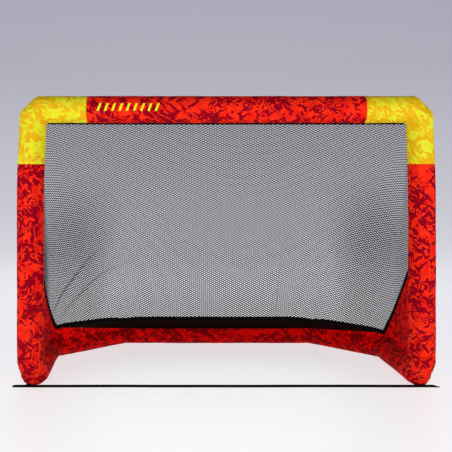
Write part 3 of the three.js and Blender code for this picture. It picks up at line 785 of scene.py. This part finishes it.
# ---------------------------------------------------------------- materials
class Nodes:
    """Short names for building a node tree."""

    def __init__(self, name):
        self.material = bpy.data.materials.new(name)
        self.material.use_nodes = True
        self.tree = self.material.node_tree
        self.shader = self.tree.nodes["Principled BSDF"]

    def add(self, kind, **settings):
        node = self.tree.nodes.new(kind)
        for key, value in settings.items():
            setattr(node, key, value)
        return node

    def link(self, source, target):
        self.tree.links.new(source, target)

    def set(self, **values):
        for key, value in values.items():
            self.shader.inputs[key.replace("_", " ")].default_value = value

    def position(self, move=(0, 0, 0)):
        coordinates = self.add("ShaderNodeTexCoord")
        mapping = self.add("ShaderNodeMapping")
        mapping.inputs["Location"].default_value = move
        self.link(coordinates.outputs["Object"], mapping.inputs["Vector"])
        return mapping.outputs["Vector"]

    def noise(self, vector, scale, detail=2.0, roughness=0.5, output="Fac"):
        node = self.add("ShaderNodeTexNoise")
        node.inputs["Scale"].default_value = scale
        node.inputs["Detail"].default_value = detail
        node.inputs["Roughness"].default_value = roughness
        self.link(vector, node.inputs["Vector"])
        return node.outputs[output]

    def math(self, operation, first, second=None):
        node = self.add("ShaderNodeMath", operation=operation)
        for socket, value in zip(node.inputs, (first, second)):
            if value is None:
                continue
            if isinstance(value, (int, float)):
                socket.default_value = value
            else:
                self.link(value, socket)
        return node.outputs[0]

    def warp(self, vector, scale, amount):
        """The position pushed about by colour noise."""
        colour = self.noise(vector, scale, 2.0, 0.5, "Color")
        centre = self.add("ShaderNodeVectorMath", operation="SUBTRACT")
        centre.inputs[1].default_value = (0.5, 0.5, 0.5)
        self.link(colour, centre.inputs[0])
        push = self.add("ShaderNodeVectorMath", operation="SCALE")
        push.inputs["Scale"].default_value = amount
        self.link(centre.outputs[0], push.inputs[0])
        total = self.add("ShaderNodeVectorMath", operation="ADD")
        self.link(vector, total.inputs[0])
        self.link(push.outputs[0], total.inputs[1])
        return total.outputs[0]

    def range(self, value, low, high, to_low=0.0, to_high=1.0):
        node = self.add("ShaderNodeMapRange", interpolation_type="SMOOTHSTEP")
        for key, number in (("From Min", low), ("From Max", high), ("To Min", to_low), ("To Max", to_high)):
            node.inputs[key].default_value = number
        self.link(value, node.inputs["Value"])
        return node.outputs["Result"]

    def mix(self, factor, first, second):
        node = self.add("ShaderNodeMix", data_type="RGBA")
        self.link(factor, node.inputs["Factor"])
        for socket, value in ((node.inputs["A"], first), (node.inputs["B"], second)):
            if isinstance(value, tuple):
                socket.default_value = value
            else:
                self.link(value, socket)
        return node.outputs["Result"]

    def bump(self, height, strength, distance):
        node = self.add("ShaderNodeBump")
        node.inputs["Strength"].default_value = strength
        node.inputs["Distance"].default_value = distance
        self.link(height, node.inputs["Height"])
        self.link(node.outputs["Normal"], self.shader.inputs["Normal"])

    def weave(self, pitch):
        """Height of a plain weave that doesn't depend on UVs: three crossed waves."""
        point = self.position()
        parts = self.add("ShaderNodeSeparateXYZ")
        self.link(point, parts.inputs[0])
        turns = [self.math("MULTIPLY", parts.outputs[i], 2 * math.pi / pitch) for i in range(3)]
        waves = [self.math("SINE", turn) for turn in turns]
        crossed = self.math("MULTIPLY", waves[0], waves[2])
        return self.math("ADD", crossed, self.math("MULTIPLY", waves[1], waves[2]))


def srgb(r, g, b):
    """Linear colour of an sRGB one given as 0 to 255."""
    def linear(value):
        value /= 255
        return value / 12.92 if value <= 0.04045 else ((value + 0.055) / 1.055) ** 2.4
    return (linear(r), linear(g), linear(b), 1.0)


def contour_strokes(nodes, point, scale, rings, share):
    """Mask of thin wavy strokes that run side by side, in some regions only."""
    field = nodes.noise(nodes.warp(point, scale * 0.6, 0.8 / scale), scale, 1.0, 0.4)
    wave = nodes.math("SINE", nodes.math("MULTIPLY", field, 2 * math.pi * rings))
    region = nodes.noise(point, scale * 0.9, 1.0, 0.4)
    level = nodes.range(region, 0.5 - share, 0.5 + share, 1.25, -0.15)
    return nodes.range(nodes.math("SUBTRACT", wave, level), -0.06, 0.06)


def shards(nodes, point, turn, size, share):
    """Mask of angular slivers about as big as size, leaning by turn, that cover a share of the cloth."""
    tilted = nodes.add("ShaderNodeMapping", vector_type="TEXTURE")
    tilted.inputs["Rotation"].default_value = (0.0, turn, 0.0)
    tilted.inputs["Scale"].default_value = size
    nodes.link(nodes.warp(point, 70.0, 0.014), tilted.inputs["Vector"])
    cells = nodes.add("ShaderNodeTexVoronoi")
    cells.inputs["Scale"].default_value = 1.0
    nodes.link(tilted.outputs["Vector"], cells.inputs["Vector"])
    parts = nodes.add("ShaderNodeSeparateXYZ")
    nodes.link(cells.outputs["Color"], parts.inputs[0])
    return nodes.math("LESS_THAN", parts.outputs[0], share)


def cloth_surface(nodes, point, gloss=0.1):
    weave = nodes.weave(0.9 * MM)
    grain = nodes.noise(point, 420.0, 2.0, 0.6)
    nodes.bump(nodes.math("ADD", nodes.math("MULTIPLY", weave, 0.35), grain), 0.25, 0.4 * MM)
    nodes.link(nodes.range(grain, 0.3, 0.7, 0.62, 0.76), nodes.shader.inputs["Roughness"])
    nodes.set(Specular_IOR_Level=gloss)


LEAN_ANGLE = math.radians(38)
SLIVER = (36 * MM, 20 * MM, 7.5 * MM)


def red_print(name, front, rear):
    """Print in three inks, with painted shade: behind the front arch the floor frame's colours darken towards
    the rear.
    """
    nodes = Nodes(name)
    point = nodes.position()
    moved = nodes.position(move=(3.1, 1.7, 0.9))
    parts = nodes.add("ShaderNodeSeparateXYZ")
    nodes.link(point, parts.inputs[0])
    # Painted shade: from the front arch backwards the colours blend into darker inks.
    painted_rear_shade = nodes.range(parts.outputs[1], FRONT_Y + 30 * MM, FRONT_Y + 110 * MM)
    light, mid, dark = [nodes.mix(painted_rear_shade, first, second) for first, second in zip(front, rear)]
    ground = nodes.mix(nodes.range(nodes.noise(moved, 34.0, 2.0, 0.6), 0.42, 0.62), light, mid)
    inked = nodes.mix(shards(nodes, point, LEAN_ANGLE, SLIVER, 0.17), ground, dark)
    inked = nodes.mix(shards(nodes, moved, -LEAN_ANGLE, SLIVER, 0.12), inked, dark)
    inked = nodes.mix(contour_strokes(nodes, moved, 38.0, 6.0, 0.15), inked, dark)
    nodes.link(inked, nodes.shader.inputs["Base Color"])
    cloth_surface(nodes, point, 0.03)
    return nodes.material


def yellow_print(name, light, mid, amber):
    nodes = Nodes(name)
    point = nodes.position()
    moved = nodes.position(move=(1.1, 0.4, 2.3))
    soft = nodes.range(nodes.noise(nodes.warp(point, 30.0, 0.03), 32.0, 3.0, 0.6), 0.48, 0.60)
    ground = nodes.mix(nodes.range(nodes.noise(moved, 60.0, 3.0, 0.6), 0.4, 0.6), light, mid)
    inked = nodes.mix(nodes.math("MULTIPLY", soft, 0.8), ground, amber)
    inked = nodes.mix(shards(nodes, moved, LEAN_ANGLE, SLIVER, 0.16), inked, amber)
    inked = nodes.mix(contour_strokes(nodes, moved, 34.0, 5.0, 0.10), inked, amber)
    nodes.link(inked, nodes.shader.inputs["Base Color"])
    cloth_surface(nodes, point)
    return nodes.material


def plain_cloth(name, colour, other, pitch, roughness=0.8, alpha=1.0):
    nodes = Nodes(name)
    point = nodes.position()
    shade = nodes.range(nodes.noise(point, 60.0, 3.0, 0.6), 0.35, 0.65)
    nodes.link(nodes.mix(shade, colour, other), nodes.shader.inputs["Base Color"])
    nodes.bump(nodes.weave(pitch), 0.4, 0.25 * MM)
    nodes.set(Roughness=roughness, Alpha=alpha, Specular_IOR_Level=0.03)
    return nodes.material


def hard(name, colour, roughness, metallic=0.0):
    nodes = Nodes(name)
    point = nodes.position()
    wear = nodes.noise(point, 900.0, 3.0, 0.6)
    worn = nodes.range(wear, 0.3, 0.7, roughness * 0.85, roughness * 1.15)
    nodes.link(worn, nodes.shader.inputs["Roughness"])
    dull = tuple(c * 0.8 for c in colour[:3]) + (1.0,)
    nodes.link(nodes.mix(nodes.range(wear, 0.4, 0.7), colour, dull), nodes.shader.inputs["Base Color"])
    nodes.bump(wear, 0.08, 0.1 * MM)
    nodes.set(Metallic=metallic)
    return nodes.material


# ---------------------------------------------------------------- stage, light and camera
VIEW_HEIGHT = 0.6127
VIEW_X = -0.1217
VIEW_DISTANCE = 2.4
FOCAL_LENGTH = 66.7434  # millimetres, on a sensor 36 wide
SENSOR_WIDTH = 36.0
SHIFT = (0.0951, -0.1195)  # the view is level, so the frame is moved instead of tilted


def make_camera():
    data = bpy.data.cameras.new("camera")
    data.sensor_width = SENSOR_WIDTH
    data.lens = FOCAL_LENGTH
    data.shift_x, data.shift_y = SHIFT
    camera = bpy.data.objects.new("camera", data)
    camera.location = (VIEW_X, FRONT_Y - VIEW_DISTANCE, VIEW_HEIGHT)
    camera.rotation_euler = (math.pi / 2, 0, 0)
    bpy.context.scene.collection.objects.link(camera)
    bpy.context.scene.camera = camera
    bpy.context.scene.view_settings.view_transform = "Standard"


PAPER_GLOW_TONES = [  # from the floor in front of the goal up the wall: where, and the paper's painted glow there, darker up the wall
    (0.00, srgb(251, 251, 252)),
    (0.10, srgb(240, 239, 244)),
    (0.36, srgb(216, 216, 226)),
    (0.55, srgb(201, 200, 213)),
    (0.80, srgb(174, 173, 189)),
    (1.00, srgb(168, 166, 185)),
]
PAPER_LOW, PAPER_HIGH = -0.15, 2.75  # height plus a share of the depth, in metres
DEPTH_SHARE = 0.16
PAPER_GLOW = 0.72  # most of the paper's tone is its own light, so shadows on it stay faint


def make_stage():
    """Seamless paper: pale floor that curves up into a lavender-grey wall, its tones a painted glow that
    darkens up the wall.
    """
    wall_y, top, radius = 4.2, 4.5, 1.6
    profile = [(-6.0, 0.0), (wall_y - radius, 0.0)]
    for angle in np.linspace(0, np.pi / 2, 24):
        profile.append((wall_y - radius + radius * math.sin(angle), radius - radius * math.cos(angle)))
    profile.append((wall_y, top))
    points = np.array([[(x, y, z) for x in (-9.0, 9.0)] for y, z in profile])
    nodes = Nodes("seamless_paper")
    parts = nodes.add("ShaderNodeSeparateXYZ")
    nodes.link(nodes.position(), parts.inputs[0])
    rise = nodes.math("ADD", parts.outputs[2], nodes.math("MULTIPLY", parts.outputs[1], DEPTH_SHARE))
    along = nodes.math("DIVIDE", nodes.math("SUBTRACT", rise, PAPER_LOW), PAPER_HIGH - PAPER_LOW)
    ramp = nodes.add("ShaderNodeValToRGB")
    stops = ramp.color_ramp.elements
    while len(stops) < len(PAPER_GLOW_TONES):
        stops.new(0.5)
    for stop, (where, tone) in zip(stops, PAPER_GLOW_TONES):
        stop.position = where
        stop.color = tone
    nodes.link(along, ramp.inputs["Fac"])
    nodes.link(ramp.outputs["Color"], nodes.shader.inputs["Emission Color"])
    nodes.set(Emission_Strength=PAPER_GLOW, Roughness=0.4, Specular_IOR_Level=0.4)
    nodes.set(Base_Color=(0.30, 0.30, 0.31, 1.0))
    paper = grid_object("seamless_paper", points, nodes.material)


def area_light(name, location, target, size, power):
    data = bpy.data.lights.new(name, "AREA")
    data.shape = "RECTANGLE"
    data.size, data.size_y = size
    data.energy = power
    lamp = bpy.data.objects.new(name, data)
    lamp.location = location
    lamp.rotation_euler = (Vector(target) - Vector(location)).to_track_quat("-Z", "Y").to_euler()
    bpy.context.scene.collection.objects.link(lamp)


WORLD_GLOW = 0.12
FRONT_POWER, REAR_POWER, SIDE_POWER = 21, 10, 10  # watts


def make_light():
    world = bpy.data.worlds.new("studio")
    world.use_nodes = True
    world.node_tree.nodes["Background"].inputs["Color"].default_value = (1.0, 1.0, 1.0, 1.0)
    world.node_tree.nodes["Background"].inputs["Strength"].default_value = WORLD_GLOW
    bpy.context.scene.world = world
    area_light("front", (0, FRONT_Y - 1.9, 1.1), (0, FRONT_Y, 0.45), (1.6, 0.9), FRONT_POWER)
    area_light("rear", (0, 2.0, 1.1), (0, 0.2, 0.3), (1.6, 0.8), REAR_POWER)
    for side, sign in SIDES.items():
        lamp, target = (1.7 * sign, FRONT_Y - 0.9, 0.6), (0.55 * sign, FRONT_Y, 0.45)
        area_light(side, lamp, target, (0.6, 1.0), SIDE_POWER)


# ---------------------------------------------------------------- build
FRONT_INKS = (srgb(240, 44, 18), srgb(226, 26, 14), srgb(138, 0, 22))
# Painted shade: darker copies of the front inks for the floor frame.
REAR_SHADED_INKS = (srgb(215, 3, 1), srgb(190, 1, 1), srgb(112, 0, 3))
# Painted light: the gusset's inks are brightened to make up for the little light that reaches its
# inward-facing cloth.
GUSSET_BRIGHTENED_INKS = (srgb(236, 6, 2), srgb(214, 2, 2), srgb(130, 0, 5))
RED = red_print("red_print", FRONT_INKS, REAR_SHADED_INKS)
GUSSET_LIT_RED = red_print("red_print_gusset_painted_light", GUSSET_BRIGHTENED_INKS, GUSSET_BRIGHTENED_INKS)
YELLOW = yellow_print("yellow_print", srgb(218, 220, 44), srgb(218, 210, 26), srgb(222, 168, 8))
BLACK = plain_cloth("black_tape", srgb(5, 5, 6), srgb(10, 10, 11), 1.1 * MM)
SKIRT = plain_cloth("skirt_mesh_cloth", srgb(12, 3, 4), srgb(26, 3, 4), 1.4 * MM, alpha=0.95)
NET = plain_cloth("net_cord", srgb(30, 29, 23), srgb(40, 39, 30), 0.7 * MM, roughness=0.7)
FILM = hard("bladder_film", srgb(205, 200, 186), 0.35)
PLASTIC = hard("valve_plastic", srgb(40, 40, 44), 0.4)
RUBBER = hard("seal_rubber", srgb(28, 28, 28), 0.85)
STEEL = hard("steel", srgb(190, 193, 197), 0.3, metallic=1.0)
ZIP = hard("zip_plastic", srgb(30, 30, 33), 0.5)
INK = plain_cloth("yellow_ink", srgb(238, 226, 40), srgb(232, 214, 30), 0.9 * MM, roughness=0.6)

CAD_LOOKS = {
    "valve_body": PLASTIC, "valve_ring": PLASTIC, "valve_cap": PLASTIC, "valve_poppet": PLASTIC,
    "valve_seal": RUBBER, "valve_spring": STEEL, "valve_cap_pin": STEEL,
    "zip_slider": STEEL, "zip_stop_left": STEEL, "zip_stop_right": STEEL,
    "zip_tape_upper": ZIP, "zip_tape_lower": ZIP, "zip_teeth": ZIP, "zip_pull": ZIP,
    "strap_tab_left": BLACK, "strap_tab_right": BLACK,
}


def soften_edges(part):
    bevel = part.modifiers.new("moulded_edge", "BEVEL")
    bevel.width = 0.25 * MM
    bevel.segments = 2
    bevel.limit_method = "ANGLE"
    bevel.harden_normals = True


def dress_cad_nodes():
    for node, material in CAD_LOOKS.items():
        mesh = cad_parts[node].data
        mesh.materials.clear()
        mesh.materials.append(material)
        if material in (PLASTIC, STEEL):
            soften_edges(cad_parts[node])


make_camera()
make_stage()
make_light()
make_sleeves(RED, YELLOW)
make_bladder(FILM)
make_net(NET)
make_skirt(SKIRT, BLACK)
make_net_tapes(BLACK)
for side_name, side_sign in SIDES.items():
    make_gusset(side_name, side_sign, GUSSET_LIT_RED, BLACK)
make_strap(BLACK)
make_mark(INK)
dress_cad_nodes()
